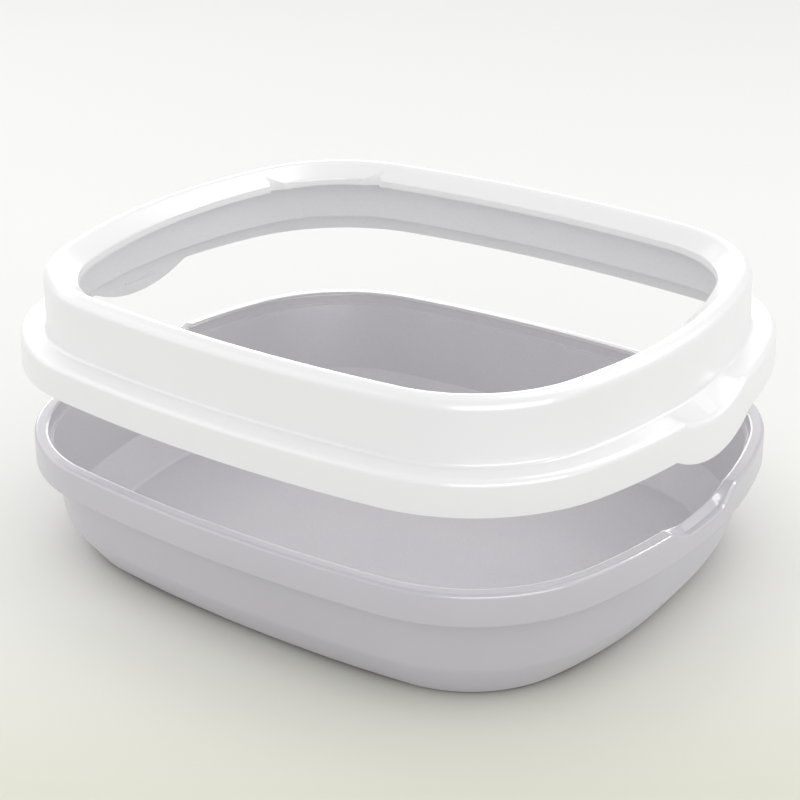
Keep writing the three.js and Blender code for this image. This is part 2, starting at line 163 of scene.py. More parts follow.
@dataclass(frozen=True)
class Outline:
    """The plan outline of the box over the lower edge of the rim's skirt: three arcs in each quarter.

    A bearing is the direction of the outline's normal, and an inset is the distance drawn in from it.
    """

    length: float = 500 * MM
    width: float = 419 * MM
    side_radius: float = 1060 * MM
    end_radius: float = 385 * MM
    corner_radius: float = 124 * MM
    arcs: tuple[PlanArc, ...] = field(init=False)

    def __post_init__(self) -> None:
        """Works out the three arcs of the quarter between +X and +Y."""
        end_centre = Vector((self.length / 2 - self.end_radius, 0))
        side_centre = Vector((0, self.width / 2 - self.side_radius))
        end_reach = self.end_radius - self.corner_radius
        side_reach = self.side_radius - self.corner_radius
        across = side_centre - end_centre
        span = across.length
        along = (end_reach**2 - side_reach**2 + span**2) / (2 * span)
        aside = math.sqrt(end_reach**2 - along**2)
        direction = across.normalized()
        centre = end_centre + direction * along + Vector((-direction.y, direction.x)) * aside
        end_bearing = math.atan2(*reversed(centre - end_centre))
        side_bearing = math.atan2(*reversed(centre - side_centre))
        arcs = (
            PlanArc(end_centre, self.end_radius, 0.0, end_bearing),
            PlanArc(centre, self.corner_radius, end_bearing, side_bearing),
            PlanArc(side_centre, self.side_radius, side_bearing, QUARTER_TURN),
        )
        object.__setattr__(self, "arcs", arcs)

    def arc_over(self, bearing: float) -> PlanArc:
        """Returns the arc that a bearing of the first quarter lies on."""
        return next((one for one in self.arcs if bearing <= one.end), self.arcs[-1])

    def place(self, bearing: float, inset: float) -> Vector:
        """Returns the plan point of the first quarter at a bearing and an inset."""
        one = self.arc_over(bearing)
        reach = one.radius - inset
        return Vector((one.centre.x + reach * math.cos(bearing), one.centre.y + reach * math.sin(bearing)))

    def bearing_of(self, x: float, y: float) -> float:
        """Returns the first quarter's bearing of a plan point, folded into that quarter."""
        spot = Vector((abs(x), abs(y)))
        for one in self.arcs:
            offset = spot - one.centre
            bearing = math.atan2(offset.y, offset.x)
            if bearing <= one.end:
                return max(bearing, one.start)
        return QUARTER_TURN

    def length_to(self, bearing: float, inset: float) -> float:
        """Returns the length along the quarter, at an inset, from +X to a bearing."""
        length = 0.0
        for one in self.arcs:
            turn = min(max(bearing, one.start), one.end) - one.start
            length += (one.radius - inset) * turn
        return length

    def bearing_at(self, length: float, inset: float) -> float:
        """Returns the bearing that lies at a length along the quarter, at an inset."""
        left = length
        for one in self.arcs[:-1]:
            whole = (one.radius - inset) * (one.end - one.start)
            if left <= whole:
                return one.start + left / (one.radius - inset)
            left -= whole
        last = self.arcs[-1]
        return last.start + left / (last.radius - inset)

    def end_bearing_at(self, distance: float) -> float:
        """Returns the bearing on the short end at a distance from its middle."""
        return math.asin(distance / self.end_radius)

    def carry_round(
        self, section: Sequence[Point], closed: bool, stations: Sequence[float], step: float, gauge: float
    ) -> bmesh.types.BMesh:
        """Carries a section round the whole outline with the spin and mirror operators.

        Args:
            section: points of inset and height.
            closed: whether the last point joins the first.
            stations: bearings of the first quarter at which there must be a column of points.
            step: the longest cell along the outline.
            gauge: the inset at which that length is measured.

        Returns:
            A mesh with the number of its section point in the vertex layer "row".
        """
        mesh = bmesh.new()
        row = mesh.verts.layers.int.new("row")
        for number, (inset, height) in enumerate(section):
            corner = mesh.verts.new((self.length / 2 - inset, 0.0, height))
            corner[row] = number
        mesh.verts.ensure_lookup_table()
        count = len(section)
        for number in range(count if closed else count - 1):
            mesh.edges.new((mesh.verts[number], mesh.verts[(number + 1) % count]))
        bearings = sorted({0.0, *(one.end for one in self.arcs), *stations})
        last: list[bmesh.types.BMVert | bmesh.types.BMEdge] = [*mesh.verts, *mesh.edges]
        for start, end in zip(bearings, bearings[1:]):
            if end - start < MERGE_REACH:
                continue
            one = self.arc_over((start + end) / 2)
            run = (one.radius - gauge) * (end - start)
            spun = bmesh.ops.spin(
                mesh,
                geom=last,
                cent=(one.centre.x, one.centre.y, 0.0),
                axis=(0.0, 0.0, 1.0),
                angle=end - start,
                steps=max(1, round(run / step)),
                use_duplicate=False,
            )
            last = spun["geom_last"]
        for axis in ("Y", "X"):
            everything = [*mesh.verts, *mesh.edges, *mesh.faces]
            bmesh.ops.mirror(
                mesh, geom=everything, matrix=Matrix.Identity(4), merge_dist=MERGE_REACH, axis=axis
            )
        bmesh.ops.remove_doubles(mesh, verts=mesh.verts, dist=MERGE_REACH)
        return mesh


def close_with_pole(mesh: bmesh.types.BMesh, row: int) -> None:
    """Closes the open loop of one row with triangles that meet in the middle of the box.

    Args:
        mesh: a mesh from Outline.carry_round.
        row: the number of the loop's section point.
    """
    layer = mesh.verts.layers.int["row"]
    loop = [edge for edge in mesh.edges if edge.is_boundary and all(v[layer] == row for v in edge.verts)]
    grown = bmesh.ops.extrude_edge_only(mesh, edges=loop)
    inner = [item for item in grown["geom"] if isinstance(item, bmesh.types.BMVert)]
    height = inner[0].co.z
    bmesh.ops.pointmerge(mesh, verts=inner, merge_co=(0.0, 0.0, height))


def mark_inside(mesh: bmesh.types.BMesh, first_row: int) -> None:
    """Gives the faces from a row of the section onwards the piece's second material."""
    layer = mesh.verts.layers.int["row"]
    for face in mesh.faces:
        face.material_index = int(min(corner[layer] for corner in face.verts) >= first_row)


def finish_piece(mesh: bmesh.types.BMesh, name: str, sharp_angle: float) -> bpy.types.Object:
    """Turns a closed mesh into an object with outward faces and smooth shading.

    Args:
        mesh: the mesh, which is freed.
        name: the object's name.
        sharp_angle: the angle between faces above which an edge shades as sharp.

    Returns:
        The object, linked to the scene.
    """
    bmesh.ops.recalc_face_normals(mesh, faces=mesh.faces)
    if mesh.calc_volume(signed=True) < 0:
        bmesh.ops.reverse_faces(mesh, faces=mesh.faces)
    for edge in mesh.edges:
        edge.smooth = edge.smooth and edge.calc_face_angle(0.0) < sharp_angle
    loose = [edge for edge in mesh.edges if not edge.is_manifold]
    LOG.info("%s: %d faces, %d open edges", name, len(mesh.faces), len(loose))
    data = bpy.data.meshes.new(name)
    mesh.to_mesh(data)
    mesh.free()
    data.shade_smooth()
    piece = bpy.data.objects.new(name, data)
    bpy.context.scene.collection.objects.link(piece)
    return piece


# A Mix node's sockets for colours, by number, because several of them have the same name.
MIX_SHARE, MIX_FIRST, MIX_SECOND, MIX_COLOUR = 0, 6, 7, 2


class Signal:
    """A shader socket that Python's arithmetic works on, adding Math nodes as it goes."""

    def __init__(self, bench: "Bench", socket: bpy.types.NodeSocket) -> None:
        """Wraps one output socket of a bench's node."""
        self.bench = bench
        self.socket = socket

    def _math(self, operation: str, first: "Signal | float", second: "Signal | float") -> "Signal":
        """Returns the result of a Math node on two values."""
        return self.bench.node("ShaderNodeMath", {"operation": operation}, {0: first, 1: second})

    def __add__(self, other: "Signal | float") -> "Signal":
        """Returns the sum."""
        return self._math("ADD", self, other)

    __radd__ = __add__

    def __sub__(self, other: "Signal | float") -> "Signal":
        """Returns the difference."""
        return self._math("SUBTRACT", self, other)

    def __rsub__(self, other: "Signal | float") -> "Signal":
        """Returns the difference, this value taken away."""
        return self._math("SUBTRACT", other, self)

    def __mul__(self, other: "Signal | float") -> "Signal":
        """Returns the product."""
        return self._math("MULTIPLY", self, other)

    __rmul__ = __mul__

    def __truediv__(self, other: "Signal | float") -> "Signal":
        """Returns the quotient."""
        return self._math("DIVIDE", self, other)

    def __rtruediv__(self, other: "Signal | float") -> "Signal":
        """Returns the quotient, this value as the divisor."""
        return self._math("DIVIDE", other, self)

    def power(self, exponent: "Signal | float") -> "Signal":
        """Returns the value raised to an exponent."""
        return self._math("POWER", self, exponent)

    def magnitude(self) -> "Signal":
        """Returns the value without its sign."""
        return self._math("ABSOLUTE", self, 0.0)

    def faded(self, length: float) -> "Signal":
        """Returns a fall-off that is 1 where the value is 0 and e times less at each further length."""
        return self._math("EXPONENT", self * (-1 / length), 0.0)

    def held(self) -> "Signal":
        """Returns the value held between 0 and 1."""
        return self.bench.node("ShaderNodeClamp", {}, {"Value": self})

    def sibling(self, output: str) -> "Signal":
        """Returns another output of the same node."""
        return Signal(self.bench, self.socket.node.outputs[output])


class Bench:
    """A material's node tree, with one method that adds and wires any node."""

    def __init__(self, name: str) -> None:
        """Starts a material with an empty tree and an output."""
        self.material = bpy.data.materials.new(name)
        self.material.use_nodes = True
        self.tree = self.material.node_tree
        self.tree.nodes.clear()
        self.output = self.tree.nodes.new("ShaderNodeOutputMaterial")

    def node(
        self,
        kind: str,
        settings: dict[str, object],
        inputs: "dict[str | int, Signal | float | Sequence[float]]",
        output: str | int = 0,
    ) -> Signal:
        """Adds a node, makes its settings first and then feeds its sockets.

        Args:
            kind: the node's type.
            settings: the node's own properties, such as a Math node's operation.
            inputs: values or signals by socket name or number.
            output: the output socket to hand back.

        Returns:
            The chosen output as a signal.
        """
        made = self.tree.nodes.new(kind)
        for key, value in settings.items():
            if key == "stops":
                self._set_stops(made, value)
            else:
                setattr(made, key, value)
        for key, value in inputs.items():
            socket = made.inputs[key]
            if isinstance(value, Signal):
                self.tree.links.new(value.socket, socket)
            else:
                socket.default_value = value
        return Signal(self, made.outputs[output])

    @staticmethod
    def _set_stops(ramp: bpy.types.Node, stops: Sequence[tuple[float, Colour]]) -> None:
        """Gives a colour ramp its stops; where a new one starts is of no account."""
        elements = ramp.color_ramp.elements
        while len(elements) < len(stops):
            elements.new(0.5)
        for element, (position, colour) in zip(elements, stops):
            element.position = position
            element.color = (*colour, 1.0)

    def object_place(self) -> Signal:
        """Returns the Object coordinates."""
        return self.node("ShaderNodeTexCoord", {}, {}, "Object")

    def noise(self, place: Signal, scale: float, detail: float, roughness: float = 0.5) -> Signal:
        """Returns a noise from 0 to 1 whose features are 1 / scale metres wide."""
        inputs = {"Vector": place, "Scale": scale, "Detail": detail, "Roughness": roughness}
        return self.node("ShaderNodeTexNoise", {}, inputs)

    def mix(self, share: Signal, first: Signal | Colour, second: Signal | Colour) -> Signal:
        """Returns a mix of two colours."""
        first, second = (one if isinstance(one, Signal) else (*one, 1.0) for one in (first, second))
        inputs = {MIX_SHARE: share, MIX_FIRST: first, MIX_SECOND: second}
        return self.node("ShaderNodeMix", {"data_type": "RGBA"}, inputs, MIX_COLOUR)

    def bump(self, height: Signal, distance: float, under: Signal | None = None) -> Signal:
        """Returns the normal that a height gives, on top of another bump where one is given."""
        inputs: dict[str | int, Signal | float] = {"Height": height, "Strength": 1.0, "Distance": distance}
        if under is not None:
            inputs["Normal"] = under
        return self.node("ShaderNodeBump", {}, inputs)

    def surface(self, shader: Signal) -> bpy.types.Material:
        """Feeds the output and returns the material."""
        self.tree.links.new(shader.socket, self.output.inputs["Surface"])
        return self.material


# Clouds of colour and smudges of gloss, in features per metre, and how hard the clouds and specks are.
CLOUD_SCALE = 14.0
SMUDGE_SCALE = 38.0
CLOUD_CONTRAST = 2.0
SPECK_CONTRAST = 4.0
NOISE_MIDDLE = 0.5


@dataclass(frozen=True)
class MouldedPlastic:
    """A moulded polypropylene skin: its tone, its gloss and the texture that the mould leaves."""

    name: str
    tone: Colour
    cloud_tone: Colour
    speck_tone: Colour
    speck_share: float
    roughness: float
    roughness_swing: float
    specular: float
    coat: float
    coat_roughness: float
    grain_pitch: float
    grain_depth: float
    wave_pitch: float
    wave_depth: float = 0.1 * MM

    def material(self) -> bpy.types.Material:
        """Builds the material.

        Returns:
            A material with clouded and specked colour, uneven gloss, fine grain and slow waves.
        """
        bench = Bench(self.name)
        place = bench.object_place()
        clouds = bench.noise(place, CLOUD_SCALE, detail=3.0, roughness=0.6)
        cloudy = ((clouds - NOISE_MIDDLE) * CLOUD_CONTRAST + NOISE_MIDDLE).held()
        specks = bench.noise(place, 1 / self.grain_pitch, detail=1.0, roughness=0.6)
        specked = ((specks - NOISE_MIDDLE) * SPECK_CONTRAST).held() * self.speck_share
        colour = bench.mix(specked, bench.mix(cloudy, self.tone, self.cloud_tone), self.speck_tone)
        smudges = bench.noise(place, SMUDGE_SCALE, detail=4.0, roughness=0.65)
        roughness = (smudges - NOISE_MIDDLE) * (2 * self.roughness_swing) + self.roughness
        waves = bench.noise(place, 1 / self.wave_pitch, detail=1.0)
        grain = bench.noise(place, 1 / self.grain_pitch, detail=2.0, roughness=0.7)
        normal = bench.bump(grain, self.grain_depth, bench.bump(waves, self.wave_depth))
        inputs = {
            "Base Color": colour,
            "Roughness": roughness,
            "Specular IOR Level": self.specular,
            "Coat Weight": self.coat,
            "Coat Roughness": self.coat_roughness,
            "Normal": normal,
        }
        return bench.surface(bench.node("ShaderNodeBsdfPrincipled", {}, inputs))


# Gloss is the finish of the outside, and matte, with the grain of the mould, that of the inside; the
# inside's lighter tone is painted light.
WHITE_GLOSS = MouldedPlastic(
    name="white_gloss_plastic",
    tone=(0.852, 0.852, 0.852),
    cloud_tone=(0.842, 0.842, 0.842),
    speck_tone=(0.8, 0.8, 0.8),
    speck_share=0.1,
    roughness=0.36,
    roughness_swing=0.03,
    specular=0.5,
    coat=0.5,
    coat_roughness=0.07,
    grain_pitch=0.8 * MM,
    grain_depth=0.004 * MM,
    wave_pitch=60 * MM,
)

# Painted light: this inside copy of the white plastic has a lighter tone than the outside's, to lift the
# shade inside the rim.
WHITE_MATTE_WITH_PAINTED_LIGHT = MouldedPlastic(
    name="white_matte_plastic_painted_light",
    tone=(0.94, 0.94, 0.94),
    cloud_tone=(0.92, 0.92, 0.92),
    speck_tone=(0.84, 0.84, 0.84),
    speck_share=0.7,
    roughness=0.6,
    roughness_swing=0.04,
    specular=0.4,
    coat=0.0,
    coat_roughness=0.2,
    grain_pitch=0.9 * MM,
    grain_depth=0.05 * MM,
    wave_pitch=60 * MM,
)

GREY_SATIN = MouldedPlastic(
    name="grey_satin_plastic",
    tone=(0.555, 0.54, 0.57),
    cloud_tone=(0.535, 0.525, 0.555),
    speck_tone=(0.5, 0.49, 0.52),
    speck_share=0.15,
    roughness=0.38,
    roughness_swing=0.04,
    specular=0.5,
    coat=0.5,
    coat_roughness=0.08,
    grain_pitch=0.8 * MM,
    grain_depth=0.006 * MM,
    wave_pitch=70 * MM,
)

# Painted light: this inside copy of the grey plastic has a lighter tone than the outside's, to lift the
# shade inside the pan.
GREY_MATTE_WITH_PAINTED_LIGHT = MouldedPlastic(
    name="grey_matte_plastic_painted_light",
    tone=(0.625, 0.615, 0.635),
    cloud_tone=(0.61, 0.595, 0.625),
    speck_tone=(0.54, 0.53, 0.56),
    speck_share=0.7,
    roughness=0.5,
    roughness_swing=0.05,
    specular=0.45,
    coat=0.2,
    coat_roughness=0.1,
    grain_pitch=0.9 * MM,
    grain_depth=0.05 * MM,
    wave_pitch=70 * MM,
)


# Points of one column, whose dips differ by rounding only, share the section of the nearest such step.
DIP_STEPS = 100_000


@dataclass
class LitterPan:
    """The grey pan: a flat floor, a bevel and drafted walls, and a flange with a bead along its top."""

    outline: Outline
    sheet: float = 2.8 * MM
    height: float = 92.7 * MM
    flange_inset: float = 3.2 * MM
    flange_height: float = 21.6 * MM
    flange_width: float = 10.1 * MM
    flange_draft: float = 0.3 * MM
    bead_round: float = 2.6 * MM
    step_depth: float = 9.4 * MM
    step_width: float = 2.2 * MM
    dip_length: float = 46 * MM
    dip_ramp: float = 21 * MM
    dip_depth: float = 9.2 * MM
    dip_inner_depth: float = 5.2 * MM
    dip_edge_round: float = 0.8 * MM
    basin_draft: float = 8.2 * MM
    crease_height: float = 29.5 * MM
    bevel_sheet: float = 3.8 * MM
    crease_round: float = 12 * MM
    bevel_slope: float = 54.6 * DEGREE
    floor_sheet: float = 3 * MM
    floor_round: float = 4.5 * MM
    base_round: float = 5 * MM
    stand_width: float = 12 * MM
    stand_recess: float = 1 * MM
    edge_round: float = 0.5 * MM
    inner_round: float = 1.2 * MM
    step_round: float = 0.6 * MM
    crease_edge_round: float = 0.9 * MM
    pocket_round: float = 1 * MM
    round_steps: int = 8
    fold_steps: int = 5
    floor_steps: int = 10
    hidden_steps: int = 3
    column_step: float = 2.6 * MM
    sharp_angle: float = 24 * DEGREE

    def __post_init__(self) -> None:
        """Works out the corners of the section that don't move with the dip."""
        self.bead_outer = self.flange_inset + self.flange_draft
        self.bead_inner = self.bead_outer + self.flange_width
        step_height = self.height - self.step_depth
        self.step_crease = (self.bead_inner + self.flange_draft, step_height)
        self.step_edge = (self.step_crease[0] + self.step_width, step_height)
        self.crease = (self.step_edge[0] + self.basin_draft, self.crease_height)
        bevel_run = (self.crease_height - self.floor_sheet) / math.tan(self.bevel_slope)
        self.bevel_foot = (self.crease[0] + bevel_run, self.floor_sheet)

    def dip_share(self, bearing: float) -> float:
        """Returns how much of the full dip the flange has at a bearing."""
        into_ramp = abs(self.outline.place(bearing, 0.0).y) - self.dip_length / 2
        return max(0.0, min(1.0, 1 - into_ramp / self.dip_ramp))

    def bead_radius(self, dip: float) -> float:
        """Returns the radius of the bead's two edges, which are crisper where the flange dips."""
        return self.bead_round + (self.dip_edge_round - self.bead_round) * dip

    def lowered(self, point: Point, dip: float) -> Point:
        """Returns a point of the flange's top, lowered by a share of the full dip."""
        across = (point[0] - self.bead_outer) / self.flange_width
        drop = self.dip_depth + (self.dip_inner_depth - self.dip_depth) * across
        return (point[0], point[1] - dip * drop)

    def basin(self, dip: float) -> list[Point]:
        """Draws the inside below the bead.

        Args:
            dip: the share of the full dip at the section.

        Returns:
            Points over the step, down the wall and the bevel, and out onto the floor.
        """
        top = self.lowered((self.bead_inner, self.height - self.bead_radius(dip)), dip)
        run = [top, self.step_crease, self.step_edge, self.crease, self.bevel_foot]
        radii = [self.inner_round, self.step_round, self.crease_edge_round]
        middle = (self.outline.width / 2, self.floor_sheet)
        return [
            *rounded(run, radii, self.fold_steps),
            *fillet(self.crease, self.bevel_foot, middle, self.floor_round, self.floor_steps),
        ]

    def section(self, dip: float) -> list[Point]:
        """Draws the pan's section.

        Args:
            dip: the share of the full dip at the section.

        Returns:
            Points from the underside's recess out and up, over the flange and down to the floor.
        """
        fine, steps = self.edge_round, self.round_steps
        radius = self.bead_radius(dip)
        bead_level = self.height - radius
        flange_foot = self.height - self.flange_height
        under_top = self.height - self.sheet
        outer_crease = beside_corner(self.bevel_foot, self.crease, self.step_edge, -self.bevel_sheet)
        under_step = beside_corner(self.crease, self.step_edge, self.step_crease, -self.sheet)
        base = (outer_crease[0] + outer_crease[1] / math.tan(self.bevel_slope), 0.0)
        stand_inner = (base[0] + self.base_round + self.stand_width, 0.0)
        recess = (stand_inner[0] + self.stand_recess, self.stand_recess)
        pocket = [
            outer_crease,
            under_step,
            (self.step_crease[0] - self.sheet, under_step[1]),
            self.lowered((self.bead_inner - self.sheet, under_top), dip),
            self.lowered((self.bead_outer + self.sheet, under_top), dip),
            (self.flange_inset + self.sheet, flange_foot),
            (self.flange_inset, flange_foot),
            self.lowered((self.bead_outer, bead_level), dip),
        ]
        bead = [
            *arc((self.bead_outer + radius, bead_level), radius, OUTWARD, UPWARD, steps),
            (self.bead_outer + radius + fine, self.height),
            (self.bead_inner - radius - fine, self.height),
            *arc((self.bead_inner - radius, bead_level), radius, UPWARD, INWARD, steps),
        ]
        return [
            recess,
            stand_inner,
            *fillet(stand_inner, base, outer_crease, self.base_round, steps),
            *fillet(base, outer_crease, under_step, self.crease_round, steps),
            *rounded(pocket, [self.pocket_round] * 4 + [fine] * 2, self.hidden_steps),
            *(self.lowered(point, dip) for point in bead),
            *self.basin(dip),
        ]

    def build(self) -> bpy.types.Object:
        """Builds the pan's mesh.

        Returns:
            The pan as a smooth closed object.
        """
        plain = self.section(0.0)
        dip_end = self.dip_length / 2
        stations = [self.outline.end_bearing_at(distance) for distance in (dip_end, dip_end + self.dip_ramp)]
        mesh = self.outline.carry_round(plain, False, stations, self.column_step, self.flange_inset)
        row = mesh.verts.layers.int["row"]
        sections: dict[int, list[Point]] = {}
        for corner in mesh.verts:
            dip = self.dip_share(self.outline.bearing_of(corner.co.x, corner.co.y))
            if dip > 0:
                column = round(dip * DIP_STEPS)
                if column not in sections:
                    sections[column] = self.section(dip)
                inset, height = sections[column][corner[row]]
                self._shift(corner, inset - plain[corner[row]][0])
                corner.co.z = height
        close_with_pole(mesh, 0)
        close_with_pole(mesh, len(plain) - 1)
        mark_inside(mesh, len(plain) - len(self.basin(0.0)) - 1)
        return finish_piece(mesh, "litter_pan_skin", self.sharp_angle)

    def _shift(self, corner: bmesh.types.BMVert, inward: float) -> None:
        """Moves a point of the short end straight in by a change of inset."""
        bearing = self.outline.bearing_of(corner.co.x, corner.co.y)
        corner.co.x -= math.copysign(inward * math.cos(bearing), corner.co.x)
        corner.co.y -= math.copysign(inward * math.sin(bearing), corner.co.y)

    def dress(self, piece: bpy.types.Object) -> None:
        """Gives the pan its plastic and its place in the frame."""
        for plastic in (GREY_SATIN, GREY_MATTE_WITH_PAINTED_LIGHT):
            piece.data.materials.append(plastic.material())
        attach(piece, Body.PAN.value)
        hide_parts("litter_pan")


@dataclass
class SplashRim:
    """The white rim: a skirt with a tab at each short end, a ledge, a wall and an inward band."""

    outline: Outline
    lifted_height: float = 146.1 * MM
    sheet: float = 2.2 * MM
    skirt_height: float = 23.5 * MM
    skirt_draft: float = 0.8 * MM
    shoulder_round: float = 4.3 * MM
    foot_inset: float = 18.5 * MM
    foot_round: float = 2.5 * MM
    drip_depth: float = 4.7 * MM
    drip_sheet: float = 2 * MM
    wall_rise: float = 34.3 * MM
    wall_draft: float = 1.2 * MM
    crest_round: float = 8 * MM
    band_length: float = 12.1 * MM
    band_slope: float = 38 * DEGREE
    lip_round: float = 2.8 * MM
    lip_drop: float = 4.4 * MM
    tab_length: float = 100 * MM
    tab_drop: float = 13.2 * MM
    tab_fillet: float = 8 * MM
    sag_depth: float = 8.5 * MM
    sag_reach: float = 41 * MM
    snap_length: float = 34 * MM
    snap_height: float = 3.2 * MM
    snap_taper: float = 1.5 * MM
    snap_reach: float = 0.9 * MM
    snap_top: float = -0.9 * MM
    snap_clearance: float = 2.5 * MM
    rest_length: float = 92 * MM
    rest_facet: float = 14.2 * MM
    rest_end_wall: float = 3.4 * MM
    rest_end_gap: float = 0.3 * MM
    rest_setback: float = 4.2 * MM
    rest_fold: float = 2.6 * MM
    rest_bearing: float = 45.6 * DEGREE
    edge_round: float = 0.5 * MM
    skirt_edge_round: float = 0.7 * MM
    lip_edge_round: float = 0.9 * MM
    roll_steps: int = 8
    edge_steps: int = 4
    shoulder_steps: int = 12
    foot_steps: int = 8
    crest_steps: int = 18
    hidden_crest_steps: int = 12
    hidden_shoulder_steps: int = 6
    hidden_edge_steps: int = 3
    column_step: float = 2.4 * MM
    sharp_angle: float = 28 * DEGREE

    def __post_init__(self) -> None:
        """Works out the places on the band's section that the rim and its scoop rest share."""
        crest_inset = self.foot_inset + self.wall_draft + self.crest_round
        self.crest_centre = (crest_inset, self.skirt_height + self.wall_rise)
        self.band_normal = UPWARD - self.band_slope
        self.band_start = polar(self.crest_centre, self.crest_round, self.band_normal)
        band_end = polar(self.band_start, self.band_length, -self.band_slope)
        self.fold_point = polar(self.band_start, self.rest_fold, -self.band_slope)
        self.lip_centre = polar(band_end, -self.lip_round, self.band_normal)
        self.lip_inset = self.lip_centre[0] + self.lip_round
        self.rest_middle = self.outline.length_to(self.rest_bearing, self.lip_inset)

    def tab_depth(self, bearing: float) -> float:
        """Returns how far the tab's lower edge hangs below the skirt's at a bearing."""
        distance = abs(self.outline.place(bearing, 0.0).y)
        radius = arc_radius(self.tab_length / 2, self.tab_drop)
        centre_height = radius - self.tab_drop
        reach = math.sqrt((radius + self.tab_fillet) ** 2 - (centre_height + self.tab_fillet) ** 2)
        tangent = reach * radius / (radius + self.tab_fillet)
        if distance >= reach:
            return 0.0
        if distance > tangent:
            return self.tab_fillet - math.sqrt(self.tab_fillet**2 - (reach - distance) ** 2)
        return math.sqrt(radius**2 - distance**2) - centre_height

    def ledge_sag(self, bearing: float) -> float:
        """Returns how far the ledge's outer edge sags above the tab at a bearing."""
        distance = abs(self.outline.place(bearing, 0.0).y)
        if distance >= self.sag_reach:
            return 0.0
        radius = arc_radius(self.sag_reach, self.sag_depth)
        return math.sqrt(radius**2 - distance**2) - (radius - self.sag_depth)

    def snap_share(self, bearing: float) -> float:
        """Returns how much of its full reach the snap rib inside the tab has at a bearing."""
        distance = abs(self.outline.place(bearing, 0.0).y)
        return max(0.0, min(1.0, (self.snap_length / 2 - distance) / self.snap_taper))

    def snap_rib(self, top: Point, foot: Point, share: float) -> list[Point]:
        """Draws the snap rib on the skirt's hidden face: flat on top and slanted below.

        Args:
            top: the upper end of that face.
            foot: its lower end.
            share: the share of the rib's full reach.

        Returns:
            Four points on the way down. Where the share is 0 they lie on the face itself, a little apart,
            and where the skirt is too short for the rib they are lifted clear of its lower edge.
        """
        lift = max(0.0, foot[1] + self.snap_height + self.snap_clearance - self.snap_top)
        drops = (0.0, 0.0, self.snap_height / 2, self.snap_height)
        reaches = (0.0, share, share, 0.0)
        points: list[Point] = []
        for number, (drop, reach) in enumerate(zip(drops, reaches)):
            height = self.snap_top + lift - drop - number * self.edge_round * (1 - share)
            inset = between(top, foot, (top[1] - height) / (top[1] - foot[1]))[0]
            points.append((inset + reach * self.snap_reach, height))
        return points

    def rolled_lip(self) -> list[Point]:
        """Draws the rolled edge below the fold.

        Returns:
            Points over the roll, down its face, round its lower edge and up behind the band.
        """
        lower = self.lip_centre[1] - self.lip_drop
        back = self.lip_inset - self.sheet
        band_back = polar(self.fold_point, -self.sheet, self.band_normal)
        band_back_end = (back, band_back[1] - (back - band_back[0]) * math.tan(self.band_slope))
        roll = arc(self.lip_centre, self.lip_round, self.band_normal, INWARD, self.roll_steps)
        return [*roll, *self.lower_edge(self.lip_inset, lower, back, roll[-1]), band_back_end, band_back]

    def lower_edge(self, front: float, lower: float, back: float, above: Point) -> list[Point]:
        """Returns the rounded lower edge of the lip, from its front to its back."""
        run = [above, (front, lower), (back, lower), (back, above[1])]
        return rounded(run, [self.lip_edge_round, self.edge_round], self.edge_steps)

    def section(self, tab: float, sag: float, snap: float, lip: Sequence[Point]) -> list[Point]:
        """Draws the rim's section, with heights from the skirt's lower edge.

        Args:
            tab: how far the tab hangs at the section.
            sag: how far the ledge's outer edge sags there.
            snap: the share of the snap rib's reach there.
            lip: the points of the rolled edge there.

        Returns:
            Points from the skirt's lower edge up the outside, over the crest and back down inside.
        """
        shoulder = (self.skirt_draft + self.shoulder_round, self.skirt_height - self.shoulder_round - sag)
        skirt_foot = (0.0, -tab)
        skirt_back = (self.sheet, -tab)
        skirt_top = (self.skirt_draft, shoulder[1])
        ledge_start = polar(shoulder, self.shoulder_round, UPWARD)
        ledge_end = (self.foot_inset, self.skirt_height)
        wall_top = polar(self.crest_centre, self.crest_round, OUTWARD)
        ledge_underside = self.skirt_height - self.sheet
        drip_foot = ledge_underside - self.drip_depth
        drip_inner = self.foot_inset + self.sheet
        drip_outer = drip_inner - self.drip_sheet
        steps, radius = self.hidden_crest_steps, self.crest_round - self.sheet
        inner_crest = arc(self.crest_centre, radius, self.band_normal, OUTWARD, steps)
        steps, radius = self.hidden_shoulder_steps, self.shoulder_round - self.sheet
        inner_shoulder = arc(shoulder, radius, UPWARD, OUTWARD, steps)
        inner_foot = [inner_shoulder[-1], skirt_back, skirt_foot]
        drip = [
            inner_crest[-1],
            (drip_inner, drip_foot),
            (drip_outer, drip_foot),
            (drip_outer, ledge_underside),
            inner_shoulder[0],
        ]
        return [
            *rounded([skirt_back, skirt_foot, skirt_top], [self.skirt_edge_round], self.edge_steps),
            *arc(shoulder, self.shoulder_round, OUTWARD, UPWARD, self.shoulder_steps),
            *fillet(ledge_start, ledge_end, wall_top, self.foot_round, self.foot_steps),
            *arc(self.crest_centre, self.crest_round, OUTWARD, self.band_normal, self.crest_steps),
            self.fold_point,
            *lip,
            *inner_crest,
            *rounded(drip, [self.edge_round] * 3, self.hidden_edge_steps),
            *inner_shoulder,
            *self.snap_rib(inner_shoulder[-1], skirt_back, snap),
            *rounded(inner_foot, [self.edge_round], self.hidden_edge_steps),
        ]

    def place(self, bearing: float, point: Point, corner: Vector) -> Vector:
        """Returns the place of a section point in the quarter that a mesh point lies in."""
        spot = self.outline.place(bearing, point[0])
        across = math.copysign(spot.x, corner.x)
        along = math.copysign(spot.y, corner.y)
        return Vector((across, along, self.lifted_height + point[1]))

